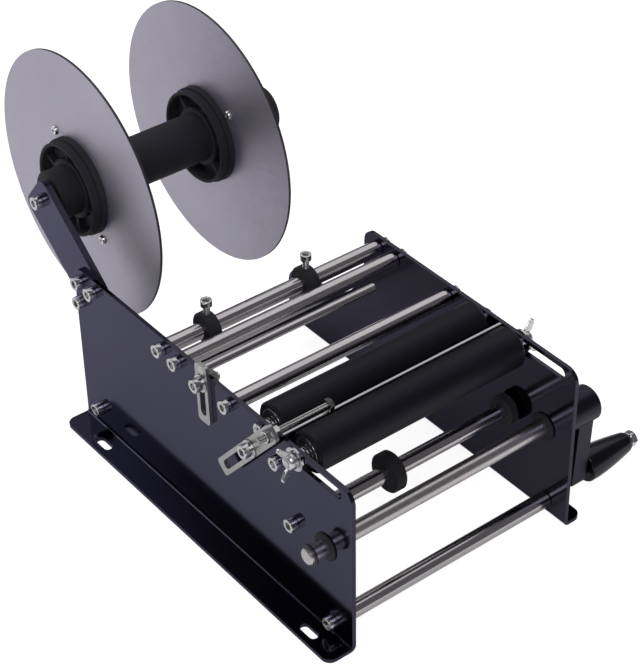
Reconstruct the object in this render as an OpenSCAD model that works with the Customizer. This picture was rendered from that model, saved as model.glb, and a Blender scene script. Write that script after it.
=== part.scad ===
// Hand-cranked bottle labeling machine. X along the bars towards the crank, Y to the rear, Z up.

/* [Side plates] */
// Length of the left side plate, front to rear
plate_len = 317; // [290:1:340]
// Height of both side plates above the bench
plate_h = 137; // [130:1:160]
// Sheet thickness of plates and feet
plate_t = 3; // [2:0.5:4]
// Clear width between the plates
inner_w = 188; // [170:1:220]
// Radius of the plates' upper corners
corner_r = 10; // [4:1:14]
// Left foot's reach beyond the plate
foot_left = 20.5; // [18:0.5:30]
// Right foot's reach beyond the plate
foot_right = 14; // [13:0.5:30]
// Inner bend radius between plate and foot
bend_r = 1.5; // [1:0.5:2]
// Length of the right plate's tall part
main_len = 222.5; // [216:0.5:230]
// Height of the right plate's low rear part
tail_h = 54; // [46:1:60]
// Concave radius between tall and low part
web_r = 57; // [40:1:60]

/* [Bars and screws] */
// Diameter of the cross bars and the winder shaft
bar_d = 12; // [10:0.5:12]
// Thread diameter of the cap screws
screw_d = 6; // [5:0.5:6]
// Depth that a screw reaches into a bar
screw_grip = 12; // [8:1:16]
// Depth of the three upper bars below the plates' top edge
upper_drop = 9.5; // [9:0.5:13]
// Rear top bar's distance from the front edge
rear_top_y = 207; // [206:0.5:209]
// Second bar's distance from the front edge
second_y = 188; // [184:0.5:188]
// Third bar's distance from the front edge
third_y = 129.5; // [126:0.5:132]
// Rear bottom bar's distance from the front edge
rear_low_y = 297.5; // [285:0.5:300]
// Rear bottom bar's height
rear_low_z = 17.5; // [16:0.5:24]
// Front bottom bar's distance from the front edge
front_low_y = 20; // [16:0.5:24]
// Front bottom bar's height
front_low_z = 13; // [12.5:0.5:16]
// Liner bar's distance from the front edge
liner_y = 60; // [58:0.5:66]
// Liner bar's height
liner_z = 72; // [66:0.5:78]

/* [Rollers] */
// Outer diameter of both rubber rollers
roller_d = 30.4; // [29:0.2:31]
// Depth of both roller axles below the plates' top edge
roller_drop = 7.5; // [7:0.5:8]
// Front roller's distance from the front edge
front_roller_y = 57; // [56:0.5:57]
// Rear roller's distance from the front edge
rear_roller_y = 93.5; // [93:0.5:96]
// Diameter of both roller axles
axle_d = 8; // [6:0.5:8]
// How far the front roller moves forward in its slots
roller_travel = 42; // [20:1:43]
// Thickness of the peel plate's blade
blade_t = 3; // [2:0.5:3.5]
// Height of the peel plate's edge above the roller axles
blade_rise = 7; // [4.5:0.5:7.5]
// Depth of the peel plate's screws below the roller axles
peel_drop = 14; // [13:0.5:15]
// Width of the peel plate's thick lower part
peel_w = 9; // [8:0.5:9.5]

/* [Reel] */
// Reel axis, distance from the front edge
reel_y = 361; // [355:1:370]
// Height of the reel axis above the plates' top edge
reel_rise = 30.7; // [23:0.1:38]
// Diameter of the reel discs
disc_d = 206; // [180:1:210]
// Sheet thickness of the reel discs
disc_t = 2; // [1:0.5:3]
// Diameter of the hub ring that carries the roll
hub_d = 75; // [70:0.5:76]
// Diameter of the reel tube
tube_d = 38; // [34:0.5:40]
// Position of the inner disc
inner_disc_x = 36.6; // [34:0.1:44]
// Position of the outer disc
outer_disc_x = 149.6; // [120:0.1:156]
// Right end of the reel tube
tube_end = 206; // [196:0.5:210]
// Width of the reel arm
arm_w = 40; // [34:1:44]
// Thickness of the reel arm
arm_t = 5; // [4:0.5:6]
// Distance between the reel axis and the arm's lower end
arm_len = 78; // [72:1:82]
// How far the reel arm reaches beyond the reel axis
arm_top = 10.5; // [10:0.5:20]
// Slope of the reel arm in degrees
arm_slope = 39.5; // [38:0.5:42]

/* [Winder and crank] */
// Winder axis, distance from the front edge
winder_y = 27; // [26:0.5:32]
// Winder axis, height
winder_z = 75; // [73:0.1:84]
// Radius of the crank
crank_r = 54; // [45:1:60]
// Crank's forward lean at rest in degrees
crank_lean = 5; // [0:1:15]
// Length of the crank's hub
crank_hub_len = 37.5; // [32:0.5:45]
// Diameter of the crank's hub
crank_hub_d = 26.6; // [25:0.2:28]
// Width of the crank's arm
crank_arm_w = 14; // [12:0.5:18]
// Thickness of the crank's arm at the hub
crank_arm_t = 14; // [12:0.5:15]
// How far the crank's arm slants towards the plate
crank_slant = 8.5; // [4:0.5:9]
// Diameter of the grip's spindle
spindle_d = 6; // [5:0.5:8]
// Length of the grip
grip_len = 45; // [36:0.5:60]
// Largest diameter of the grip
grip_d = 25; // [22:0.1:26]
// Diameter of the grip's tip
grip_tip_d = 14; // [14:0.1:18]

/* [Collars] */
// Diameter of the guide collars
guide_d = 24.4; // [22:0.2:24.4]
// Diameter of the left liner collar
liner_d = 29; // [24:0.5:32]
// Diameter of the right liner collar
liner_right_d = 23; // [20:0.5:26]
// Width of the guide collars and the left liner collar
collar_w = 9; // [7:0.5:10]
// Left guide collar's position
guide_left_x = 34; // [30:0.5:40]
// Right guide collar's position
guide_right_x = 120.5; // [118:0.5:125]
// Left liner collar's position
liner_left_x = 76; // [74:0.5:80]
// Right liner collar's position
liner_right_x = 180.5; // [178:0.5:181]

/* [Brackets] */
// Width of both slotted brackets
bracket_w = 13.2; // [12.5:0.1:15]
// Thickness of both slotted brackets
bracket_t = 3; // [2:0.5:3]
// Tension clamp, distance from the front edge
tension_y = 156; // [152:0.5:157]
// Depth of the tension clamp below the plate's top edge
tension_drop = 6; // [6:0.5:7.5]
// Tension bracket's rearward lean in degrees
tension_lean = 2; // [0:1:12]
// Distance from the clamp to the thin rod
rod_reach = 10.4; // [10.4:0.1:16]
// Diameter of the thin rod
rod_d = 6; // [4:0.5:6]
// Length of the thin rod
rod_len = 150; // [100:1:170]
// Stop clamp, distance from the front edge
stop_y = 95.8; // [95:0.1:98]
// Depth of the stop clamp below the plate's top edge
stop_drop = 20.6; // [20:0.1:21.5]
// Stop bracket's slope in degrees
stop_slope = 49.5; // [49:0.1:56]
// Distance from the stop clamp to the stop bolt
stop_reach = 33.5; // [33.5:0.1:42]
// Gap between the plate and the stop bracket
stop_gap = 5; // [5:0.5:7]
// Thread diameter of the stop bolt
bolt_d = 5; // [4:0.5:5]
// Length of the stop bolt under its head
stop_bolt_len = 56; // [48:1:70]

/* [Hidden] */
$fn = 40;
run_fit = 0.05;
loose_fit = 0.3;
rub_gap = 0.1;
bar_r = bar_d/2;
screw_r = screw_d/2;
head_r = screw_d*5/6;
head_h = screw_d;
hex_af = screw_d*5/3;
nut_h = screw_d*5/6;
socket_r = screw_d*0.48;
upper_z = plate_h - upper_drop;
roller_z = plate_h - roller_drop;
blade_z = roller_z + blade_rise;
reel_z = plate_h + reel_rise;
tension_z = plate_h - tension_drop;
stop_z = plate_h - stop_drop;
left_in = plate_t;
right_in = plate_t + inner_w;
right_out = right_in + plate_t;
bend_out = bend_r + plate_t;
tail_r = tail_h/3;
foot_r = 7;
slot_len = 16;
slot_w = 6.6;
slot_front_y = 30.5;
slot_rear_y = plate_len - 40.5;
slot_left_x = -(foot_left + bend_r)/2 - 1.5;
slot_right_x = right_out + (foot_right + bend_r)/2 + 0.2;
axle_r = axle_d/2;
roller_r = roller_d/2;
core_r = roller_r - 3.2;
bearing_r = core_r - 1;
bearing_t = 7;
set_screw_r = 2.5;
roller_end = 6;
roller_x = left_in + roller_end;
roller_len = inner_w - 2*roller_end;
spacer_r = axle_r + 2;
axle_slot_r = axle_r + loose_fit;
slot_front = front_roller_y - roller_travel;
slot_back = front_roller_y + 1;
washer_t = screw_d/5;
rear_stub_r = screw_r;
rear_nut_h = 3.2;
axle_washer_t = axle_d*0.19;
axle_washer_r = axle_d*1.075;
wing_r = screw_d*2.1;
wing_base = rub_gap*2 + axle_washer_t;
wing_h = screw_d*1.9;
wing_tilt = 12;
axle_end = wing_base + wing_h*0.55;
blade_y = (front_roller_y + rear_roller_y)/2 - blade_t/2 - 0.5;
peel_y = (front_roller_y + rear_roller_y)/2 - 0.55;
peel_z = roller_z - peel_drop;
peel_top = peel_z + peel_w/2;
peel_low = peel_z - peel_w*2/3;
disc_r = disc_d/2;
hub_r = hub_d/2;
tube_r = tube_d/2;
tube_wall = 3;
arm_x = left_in;
arm_in = arm_x + arm_t;
arm_corner = arm_w/5;
arm_dir = [cos(arm_slope), sin(arm_slope)];
arm_foot = [reel_y, reel_z] - arm_len*arm_dir;
arm_bolts = [[arm_foot[0] + 8.7, arm_foot[1] + 8.4], [arm_foot[0] - 8.3, arm_foot[1] + 8.4],
    [arm_foot[0] + 8.7, arm_foot[1] - 8.6]];
spindle_r = bar_r;
tube_start = arm_in + 5;
hub_front = 11.6;
hub_step = 5;
hub_flange = 3;
hub_back = 12;
hub_sleeve = tube_r + 4;
hub_flange_r = hub_r + 10.5;
hub_bolt_r = hub_r + 5.8;
winder_left = -16.2;
bush_r = bar_d*0.87;
bush_body = bar_d*0.71;
bush_flange = bar_d/8;
bush_lip = bar_d/6;
bush_boss = bar_d*0.21;
crank_face = right_out + bush_boss + 0.5;
crank_hub_r = crank_hub_d/2;
crank_end = crank_face + crank_hub_len;
set_screw_x = crank_face + crank_hub_len*0.24;
crank_left = crank_end - crank_arm_t;
crank_tail = crank_arm_w*0.4;
crank_tip_t = crank_arm_t - 0.5;
crank_boss_r = spindle_d;
seat_x = crank_left - crank_slant;
grip_x = crank_end - crank_slant*(1 - grip_d/2/crank_r);
grip_end = grip_x + grip_len;
grip_tip_r = grip_tip_d/2;
handle_nut_h = spindle_d*0.87;
handle_nut_r = spindle_d*1.05;
handle_end = grip_end + 0.5 + handle_nut_h + 1;
grip_y = winder_y - crank_r*sin(crank_lean);
grip_z = winder_z - crank_r*cos(crank_lean);
guide_r = guide_d/2;
liner_r = liner_d/2;
liner_right_r = liner_right_d/2;
liner_right_w = collar_w*8/9;
thumb_d = 5;
tension_up = rod_reach + rod_d*0.7;
tension_down = 33.5;
tension_slot = 27;
bolt_r = bolt_d/2;
bolt_af = bolt_d*1.6;
bolt_nut_h = bolt_d*0.8;
stop_up = stop_reach + bolt_d*0.96;
stop_down = 52.4;
stop_slot = 46;
stop_in = -stop_gap;
stop_out = stop_in - bracket_t;
stop_dir = [-cos(stop_slope), sin(stop_slope)];
stop_bolt_y = stop_y + stop_reach*stop_dir[0];
stop_bolt_z = stop_z + stop_reach*stop_dir[1];
stop_bolt_x = stop_out - bolt_nut_h - 5;
tension_dir = [sin(tension_lean), cos(tension_lean)];
rod_y = tension_y + rod_reach*tension_dir[0];
rod_z = tension_z + rod_reach*tension_dir[1];
bars = [[rear_top_y, upper_z], [second_y, upper_z], [third_y, upper_z],
    [rear_low_y, rear_low_z], [front_low_y, front_low_z], [liner_y, liner_z]];
mid_x = (handle_end - foot_left)/2;
mid_y = (reel_y + disc_r)/2;

black = [0.16, 0.155, 0.19];
ink = [0.06, 0.06, 0.07];
steel = [0.72, 0.71, 0.74];
zinc = [0.62, 0.62, 0.64];
mauve = [0.56, 0.54, 0.59];
rubber = [0.09, 0.09, 0.11];

module place() {
    translate([-mid_x, -mid_y, 0]) children();
}

module at(x, p) {
    translate([x, p[0], p[1]]) children();
}

module rod_x(l, r) {
    rotate([0, 90, 0]) cylinder(h = l, r = r);
}

module turned_x(profile) {
    rotate([0, 90, 0]) rotate_extrude() polygon(profile);
}

module sheet_x(x, t) {
    translate([x, 0, 0]) rotate([90, 0, 90]) linear_extrude(t) children();
}

module stadium(a, b, r) {
    d = b - a;
    n = [-d[1], d[0]]/norm(d)*r;
    polygon([a - n, b - n, b + n, a + n]);
    translate(a) circle(r);
    translate(b) circle(r);
}

module round_bar(w, low, high, r) {
    polygon([[-w/2 + r, low], [w/2 - r, low], [w/2, low + r], [w/2, high - r], [w/2 - r, high],
        [-w/2 + r, high], [-w/2, high - r], [-w/2, low + r]]);
    for (x = [-w/2 + r, w/2 - r], y = [low + r, high - r]) translate([x, y]) circle(r);
}

module cap_screw(l, r = screw_r) {
    difference() {
        turned_x([[0, l], [r, l], [r, 0], [r*5/3, 0], [r*5/3, -2*r + 0.5], [r*5/3 - 0.5, -2*r], [0, -2*r]]);
        translate([-2*r - 0.1, 0, 0]) rotate([0, 90, 0]) cylinder(h = r + 0.1, r = r*0.96, $fn = 6);
    }
}

module hex_nut(af, h, bore) {
    rotate([0, 90, 0]) difference() {
        cylinder(h = h, r = af/sqrt(3), $fn = 6);
        translate([0, 0, -1]) cylinder(h = h + 2, r = bore);
    }
}

module ring_x(l, ro, ri) {
    rotate([0, 90, 0]) difference() {
        cylinder(h = l, r = ro);
        translate([0, 0, -1]) cylinder(h = l + 2, r = ri);
    }
}

module plate_holes() {
    for (p = bars) translate(p) circle(screw_r + loose_fit);
    translate([peel_y, peel_z]) circle(screw_r + loose_fit);
    translate([rear_roller_y, roller_z]) circle(rear_stub_r + loose_fit);
    translate([winder_y, winder_z]) circle(bush_body);
    stadium([slot_front, roller_z], [slot_back, roller_z], axle_slot_r);
}

module foot(reach, slot_x) {
    difference() {
        linear_extrude(plate_t) {
            polygon([[bend_r, 0], [reach - foot_r, 0], [reach, foot_r], [reach, plate_len - foot_r],
                [reach - foot_r, plate_len], [bend_r, plate_len]]);
            for (y = [foot_r, plate_len - foot_r]) translate([reach - foot_r, y]) circle(foot_r);
        }
        for (y = [slot_front_y, slot_rear_y]) translate([0, 0, -1]) linear_extrude(plate_t + 2)
            stadium([slot_x, y - (slot_len - slot_w)/2], [slot_x, y + (slot_len - slot_w)/2], slot_w/2);
    }
    translate([0, plate_len, 0]) rotate([90, 0, 0]) linear_extrude(plate_len) difference() {
        intersection() {
            translate([bend_r, bend_out]) circle(bend_out);
            translate([-plate_t, 0]) square([bend_out, bend_out]);
        }
        translate([bend_r, bend_out]) circle(bend_r);
    }
}

module left_side_plate() {
    color(black) {
        sheet_x(0, plate_t) difference() {
            union() {
                polygon([[0, bend_out], [0, plate_h - corner_r], [corner_r, plate_h],
                    [plate_len - corner_r, plate_h], [plate_len, plate_h - corner_r], [plate_len, bend_out]]);
                for (y = [corner_r, plate_len - corner_r]) translate([y, plate_h - corner_r]) circle(corner_r);
            }
            plate_holes();
            for (p = arm_bolts) translate(p) circle(screw_r + loose_fit);
            translate([tension_y, tension_z]) circle(screw_r + run_fit);
            translate([stop_y, stop_z]) circle(screw_r + run_fit);
        }
        mirror([1, 0, 0]) foot(foot_left, -slot_left_x);
    }
}

module right_side_plate() {
    color(black) {
        sheet_x(right_in, plate_t) difference() {
            union() {
                polygon([[0, bend_out], [0, plate_h - corner_r], [corner_r, plate_h],
                    [main_len - corner_r, plate_h], [main_len, plate_h - corner_r], [main_len, bend_out]]);
                for (y = [corner_r, main_len - corner_r]) translate([y, plate_h - corner_r]) circle(corner_r);
                polygon([[main_len - 1, bend_out], [main_len - 1, tail_h], [plate_len - tail_r, tail_h],
                    [plate_len, tail_h - tail_r], [plate_len, bend_out]]);
                translate([plate_len - tail_r, tail_h - tail_r]) circle(tail_r);
                difference() {
                    translate([main_len - 1, tail_h - 1]) square([web_r + 1, web_r + 1]);
                    translate([main_len + web_r, tail_h + web_r]) circle(web_r);
                }
            }
            plate_holes();
        }
        translate([right_out, 0, 0]) foot(foot_right, slot_right_x - right_out);
    }
}

module arm_outline() {
    h = arm_w/2;
    c = arm_corner;
    polygon([[-arm_len, -h], [arm_top - c, -h], [arm_top, c - h], [arm_top, h - c], [arm_top - c, h], [-arm_len, h]]);
    translate([-arm_len, 0]) circle(h);
    for (z = [c - h, h - c]) translate([arm_top - c, z]) circle(c);
}

module reel_arm() {
    color(black) difference() {
        at(arm_x, [reel_y, reel_z]) rotate([arm_slope, 0, 0]) sheet_x(0, arm_t) arm_outline();
        at(arm_x - 1, [reel_y, reel_z]) rod_x(arm_t + 2, screw_r + loose_fit);
        for (p = arm_bolts) at(arm_x - 1, p) rod_x(arm_t + 2, screw_r + run_fit);
    }
}

module reel_arm_screws() {
    color(zinc) for (p = arm_bolts) at(0, p) cap_screw(plate_t + arm_t - 1);
}

module bar(p) {
    color(steel) at(left_in, p) difference() {
        turned_x([[0, 0], [bar_r - 0.6, 0], [bar_r, 0.6], [bar_r, inner_w - 0.6], [bar_r - 0.6, inner_w],
            [0, inner_w]]);
        translate([-1, 0, 0]) rod_x(screw_grip + 2, screw_r + run_fit);
        translate([inner_w - screw_grip - 1, 0, 0]) rod_x(screw_grip + 2, screw_r + run_fit);
    }
}

module rear_top_bar() {
    bar(bars[0]);
}

module second_bar() {
    bar(bars[1]);
}

module third_bar() {
    bar(bars[2]);
}

module rear_bottom_bar() {
    bar(bars[3]);
}

module front_bottom_bar() {
    bar(bars[4]);
}

module liner_bar() {
    bar(bars[5]);
}

module frame_screws() {
    color(zinc) for (p = concat(bars, [[peel_y, peel_z]])) {
        at(0, p) cap_screw(plate_t + screw_grip);
        at(right_out, p) rotate([0, 0, 180]) cap_screw(plate_t + screw_grip);
    }
}

module peel_plate() {
    color(steel) sheet_x(left_in, inner_w) difference() {
        polygon([[peel_y - peel_w/2, peel_low], [peel_y + peel_w/2, peel_low], [peel_y + peel_w/2, peel_top],
            [blade_y + blade_t, peel_top], [blade_y + blade_t, blade_z - 1], [blade_y + blade_t - 1, blade_z],
            [blade_y + 0.4, blade_z], [blade_y, blade_z - 0.4], [blade_y, peel_top],
            [peel_y - peel_w/2, peel_top]]);
        translate([peel_y, peel_z]) circle(screw_r + run_fit);
    }
}

module bush(lip) {
    l = plate_t + bush_boss;
    difference() {
        turned_x([[0, -lip], [bush_r - 0.6, -lip], [bush_r, 0.6 - lip], [bush_r, 0],
            [bush_body, 0], [bush_body, l - 0.5], [bush_body - 0.5, l], [0, l]]);
        translate([-lip - 1, 0, 0]) rod_x(lip + l + 2, bar_r + run_fit);
    }
}

module winder_bushes() {
    color(ink) {
        at(0, [winder_y, winder_z]) bush(bush_flange);
        at(right_in, [winder_y, winder_z]) bush(bush_lip);
    }
}

module reel_spindle() {
    color(steel) at(arm_in, [reel_y, reel_z]) difference() {
        l = tube_end - 6 - arm_in;
        turned_x([[0, 0], [spindle_r + 4, 0], [spindle_r + 4, 2], [spindle_r, 2], [spindle_r, l - 1],
            [spindle_r - 1, l], [0, l]]);
        translate([-1, 0, 0]) rod_x(screw_grip + 2, screw_r + run_fit);
    }
}

module reel_spindle_screw() {
    color(zinc) at(arm_x, [reel_y, reel_z]) cap_screw(arm_t + screw_grip);
}

module rear_roller_axle() {
    color(steel) at(-rear_nut_h - 1.2, [rear_roller_y, roller_z]) {
        l = right_out + 2*(rear_nut_h + 1.2);
        s = plate_t + rear_nut_h + 1.2;
        turned_x([[0, 0], [rear_stub_r - 0.4, 0], [rear_stub_r, 0.4], [rear_stub_r, s], [axle_r, s],
            [axle_r, l - s], [rear_stub_r, l - s], [rear_stub_r, l - 0.4], [rear_stub_r - 0.4, l], [0, l]]);
    }
}

module spacers(y, gap) {
    color(zinc) {
        at(left_in + gap, [y, roller_z]) ring_x(roller_end - 0.2 - gap, spacer_r, axle_r + run_fit);
        at(right_in - roller_end + 0.2, [y, roller_z]) ring_x(roller_end - 0.2 - gap, spacer_r, axle_r + run_fit);
    }
}

module rear_roller_spacers() {
    spacers(rear_roller_y, 0);
}

module rear_roller_nuts() {
    color(zinc) {
        at(-rear_nut_h, [rear_roller_y, roller_z]) hex_nut(hex_af, rear_nut_h, rear_stub_r + run_fit);
        at(right_out, [rear_roller_y, roller_z]) hex_nut(hex_af, rear_nut_h, rear_stub_r + run_fit);
    }
}

module winder_shaft() {
    color(steel) at(winder_left, [winder_y, winder_z]) difference() {
        l = crank_end - 2 - winder_left;
        turned_x([[0, 0], [bar_r - 0.8, 0], [bar_r, 0.8], [bar_r, 3], [bar_r - 1, 3], [bar_r - 1, 4.2],
            [bar_r, 4.2], [bar_r, l - 0.8], [bar_r - 0.8, l], [0, l]]);
        translate([set_screw_x - winder_left, 0, 0]) rotate([180 - crank_lean, 0, 0])
            translate([0, 0, bar_r - 1.5]) cylinder(h = 3, r = 2.6);
    }
}

module winder_snap_ring() {
    color(ink) at(winder_left + 3, [winder_y, winder_z]) difference() {
        ring_x(1.2, bar_r + 1.8, bar_r - 1);
        translate([-1, -1.2, -bar_r - 4]) cube([3.2, 2.4, 6]);
    }
}

module crank_arm() {
    l = crank_hub_len;
    slope = crank_slant/crank_r;
    low = -crank_r - crank_tail;
    right = crank_end - 0.5;
    tip_right = seat_x + crank_tip_t - slope*crank_tail;
    color(black) at(0, [winder_y, winder_z]) difference() {
        union() {
            translate([crank_face, 0, 0])
                turned_x([[0, 0], [crank_hub_r, 0], [crank_hub_r, l - 1], [crank_hub_r - 1, l], [0, l]]);
            rotate([-crank_lean, 0, 0]) {
                translate([0, crank_arm_w/2, 0]) rotate([90, 0, 0]) linear_extrude(crank_arm_w)
                    polygon([[crank_left, 0], [seat_x - slope*crank_tail, low], [tip_right, low], [right, 0]]);
                translate([seat_x - 1, 0, -crank_r]) rod_x(grip_x - 0.6 - seat_x + 1, crank_boss_r);
            }
        }
        translate([crank_face - 1, 0, 0]) rod_x(l - 1, bar_r + run_fit);
        translate([set_screw_x, 0, 0]) rotate([180 - crank_lean, 0, 0])
            cylinder(h = crank_hub_r + 2, r = set_screw_r + run_fit);
        rotate([-crank_lean, 0, 0]) translate([seat_x - 2, 0, -crank_r])
            rod_x(grip_x - seat_x + 4, spindle_d/2 + run_fit);
    }
}

module crank_set_screw() {
    color(ink) at(set_screw_x, [winder_y, winder_z]) rotate([180 - crank_lean, 0, 0]) difference() {
        translate([0, 0, bar_r - 1.4]) cylinder(h = crank_hub_r - bar_r, r = set_screw_r);
        translate([0, 0, crank_hub_r - 3.4]) cylinder(h = 4, r = set_screw_r*0.56, $fn = 6);
    }
}

module handle_spindle() {
    h = spindle_d*0.4;
    r = spindle_d*0.8;
    color(zinc) at(seat_x - 1 - h, [grip_y, grip_z]) {
        l = handle_end - 0.5 - seat_x + 1 + h;
        turned_x([[0, 0], [r - 1, 0], [r, 1], [r, h], [spindle_d/2, h], [spindle_d/2, l - 0.8],
            [spindle_d/2 - 0.8, l], [0, l]]);
    }
}

module handle_nut() {
    color(zinc) at(grip_end + 0.5, [grip_y, grip_z]) rotate([0, 90, 0]) difference() {
        union() {
            cylinder(h = handle_nut_h, r = handle_nut_r, $fn = 6);
            cylinder(h = handle_nut_h + 1, r = handle_nut_r*0.78);
        }
        translate([0, 0, -1]) cylinder(h = handle_nut_h + 1.6, r = spindle_d/2 + run_fit);
    }
}

module handle_grip() {
    r0 = grip_d/2;
    r1 = grip_tip_r;
    color(ink) at(grip_x, [grip_y, grip_z]) difference() {
        turned_x([[0, 0], [r0 - 1, 0], [r0, 1], [r0, grip_len*0.2], [r0 - 0.4, grip_len*0.35],
            [r0*0.78 + r1*0.22, grip_len*0.56], [r0*0.45 + r1*0.55, grip_len*0.76], [r1 + 0.9, grip_len*0.93],
            [r1, grip_len - 1], [r1 - 1, grip_len], [0, grip_len]]);
        translate([-1, 0, 0]) rod_x(grip_len + 2, spindle_d/2 + run_fit);
    }
}

module reel_tube() {
    color(ink) at(tube_start, [reel_y, reel_z]) ring_x(tube_end - 3 - tube_start, tube_r, tube_r - tube_wall);
}

module reel_bushes() {
    color(ink) {
        at(tube_start, [reel_y, reel_z]) difference() {
            turned_x([[0, -2.5], [spindle_r + 3, -2.5], [spindle_r + 5, -1.5], [tube_r - 1.5, -1.5], [tube_r, 0],
                [tube_r - tube_wall, 0], [tube_r - tube_wall, 12], [0, 12]]);
            translate([-4, 0, 0]) rod_x(20, spindle_r + run_fit);
        }
        at(tube_end - 3, [reel_y, reel_z]) difference() {
            turned_x([[0, -20], [tube_r - tube_wall, -20], [tube_r - tube_wall, 0], [tube_r, 0], [tube_r, 2],
                [tube_r - 1, 3], [0, 3]]);
            translate([-21, 0, 0]) rod_x(19.5, spindle_r + run_fit);
        }
    }
}

module hub(x, turn) {
    color(ink) at(x, [reel_y, reel_z]) difference() {
        union() {
            turned_x([[hub_r - 4, -hub_front + 1], [hub_r - 3.2, -hub_front], [hub_r - 2, -hub_front],
                [hub_r - 1.4, -hub_front + 0.6], [hub_r - 1.4, -hub_step], [hub_r, -hub_step], [hub_r, 0],
                [hub_r, disc_t], [hub_flange_r, disc_t], [hub_flange_r, disc_t + hub_flange],
                [hub_r - 0.3, disc_t + hub_flange], [hub_r - 0.3, hub_back - 0.8], [hub_r - 1.1, hub_back],
                [hub_r - 4, hub_back]]);
            turned_x([[tube_r - 1, -hub_front + 3], [hub_sleeve - 1, -hub_front + 3], [hub_sleeve, -hub_front + 4],
                [hub_sleeve, -2], [hub_r - 3, -2], [hub_r - 3, 4], [hub_sleeve, 4], [hub_sleeve, hub_back],
                [tube_r - 1, hub_back]]);
            for (a = [0:60:300]) rotate([a + turn, 0, 0])
                translate([-hub_front + 5, -1.5, hub_sleeve - 1]) cube([8, 3, hub_r - hub_sleeve - 2]);
        }
        translate([-hub_front - 1, 0, 0]) rod_x(hub_front + hub_back + 2, tube_r + run_fit);
        for (s = [0, 180]) rotate([turn + s, 0, 0]) translate([disc_t - 1, hub_bolt_r, 0]) rod_x(hub_flange + 2, 2 + run_fit);
    }
}

module disc(x, turn) {
    color(mauve) at(x, [reel_y, reel_z]) rotate([0, 90, 0]) difference() {
        cylinder(h = disc_t, r = disc_r, $fn = 120);
        translate([0, 0, -1]) cylinder(h = disc_t + 2, r = hub_r + run_fit);
        for (s = [0, 180]) rotate([0, 0, turn + s]) translate([0, hub_bolt_r, -1]) cylinder(h = disc_t + 2, r = 2 + loose_fit);
    }
}

module disc_screws(x, turn) {
    color(zinc) at(x, [reel_y, reel_z]) for (s = [0, 180]) rotate([turn + s, 0, 0]) translate([0, hub_bolt_r, 0])
        turned_x([[0, -2.2], [2.2, -2.2], [3.4, -1.4], [3.6, 0], [2, 0], [2, disc_t + hub_flange - 0.2],
            [0, disc_t + hub_flange - 0.2]]);
}

module inner_hub() {
    hub(inner_disc_x, 52);
}

module inner_disc() {
    disc(inner_disc_x, 52);
}

module inner_disc_screws() {
    disc_screws(inner_disc_x, 52);
}

module outer_hub() {
    hub(outer_disc_x, 136);
}

module outer_disc() {
    disc(outer_disc_x, 136);
}

module outer_disc_screws() {
    disc_screws(outer_disc_x, 136);
}

module sleeve(y) {
    color(rubber) at(roller_x, [y, roller_z]) turned_x([[core_r, 0], [roller_r - 1.5, 0], [roller_r, 1.5],
        [roller_r, roller_len - 1.5], [roller_r - 1.5, roller_len], [core_r, roller_len]]);
}

module core(y) {
    color(steel) at(roller_x, [y, roller_z]) turned_x([[bearing_r, 0], [core_r, 0], [core_r, roller_len],
        [bearing_r, roller_len], [bearing_r, roller_len - bearing_t], [bearing_r - 1, roller_len - bearing_t],
        [bearing_r - 1, bearing_t], [bearing_r, bearing_t]]);
}

module bearings(y) {
    mid = (bearing_r + axle_r)/2;
    profile = [[axle_r + run_fit, 0], [mid - 1.2, 0], [mid - 1.2, 0.8], [mid + 1.2, 0.8], [mid + 1.2, 0], [bearing_r, 0],
        [bearing_r, bearing_t], [axle_r + run_fit, bearing_t]];
    color(zinc) {
        at(roller_x, [y, roller_z]) turned_x(profile);
        at(roller_x + roller_len, [y, roller_z]) rotate([0, 0, 180]) turned_x(profile);
    }
}

module rear_roller_sleeve() {
    sleeve(rear_roller_y);
}

module rear_roller_core() {
    core(rear_roller_y);
}

module rear_roller_bearings() {
    bearings(rear_roller_y);
}

module front_roller_axle() {
    s = axle_end - rub_gap - axle_washer_t;
    l = right_out + 2*axle_end;
    color(zinc) at(-axle_end, [front_roller_y, roller_z])
        turned_x([[0, 0], [screw_r - 0.6, 0], [screw_r, 0.6], [screw_r, s], [axle_r, s], [axle_r, l - s],
            [screw_r, l - s], [screw_r, l - 0.6], [screw_r - 0.6, l], [0, l]]);
}

module front_roller_washers() {
    color(zinc) for (x = [-rub_gap - axle_washer_t, right_out + rub_gap]) at(x, [front_roller_y, roller_z])
        ring_x(axle_washer_t, axle_washer_r, axle_r + run_fit);
}

module front_roller_spacers() {
    spacers(front_roller_y, rub_gap);
}

module wing_nut() {
    r = screw_r + 0.4;
    difference() {
        union() {
            turned_x([[0, 0], [screw_d, 0], [screw_d, 1], [screw_d*0.8, wing_h*0.55], [0, wing_h*0.55]]);
            for (s = [0, 180]) rotate([wing_tilt + s, 0, 0]) translate([0, 1, 0]) rotate([90, 0, 0]) linear_extrude(2) {
                polygon([[0.6, r], [1.2, r + 2.4], [wing_h*0.44, wing_r - 3.2], [wing_h - 1, wing_r - 0.3],
                    [wing_h - 0.3, wing_r - 3.6], [wing_h*0.52, r + 0.5]]);
                translate([wing_h - 1.9, wing_r - 1.9]) circle(1.9);
            }
        }
        translate([-1, 0, 0]) rod_x(wing_h + 2, screw_r + run_fit);
    }
}

module wing_nut_left() {
    color(zinc) at(-wing_base, [front_roller_y, roller_z]) rotate([0, 0, 180]) wing_nut();
}

module wing_nut_right() {
    color(zinc) at(right_out + wing_base, [front_roller_y, roller_z]) wing_nut();
}

module front_roller_sleeve() {
    sleeve(front_roller_y);
}

module front_roller_core() {
    core(front_roller_y);
}

module front_roller_bearings() {
    bearings(front_roller_y);
}

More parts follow.
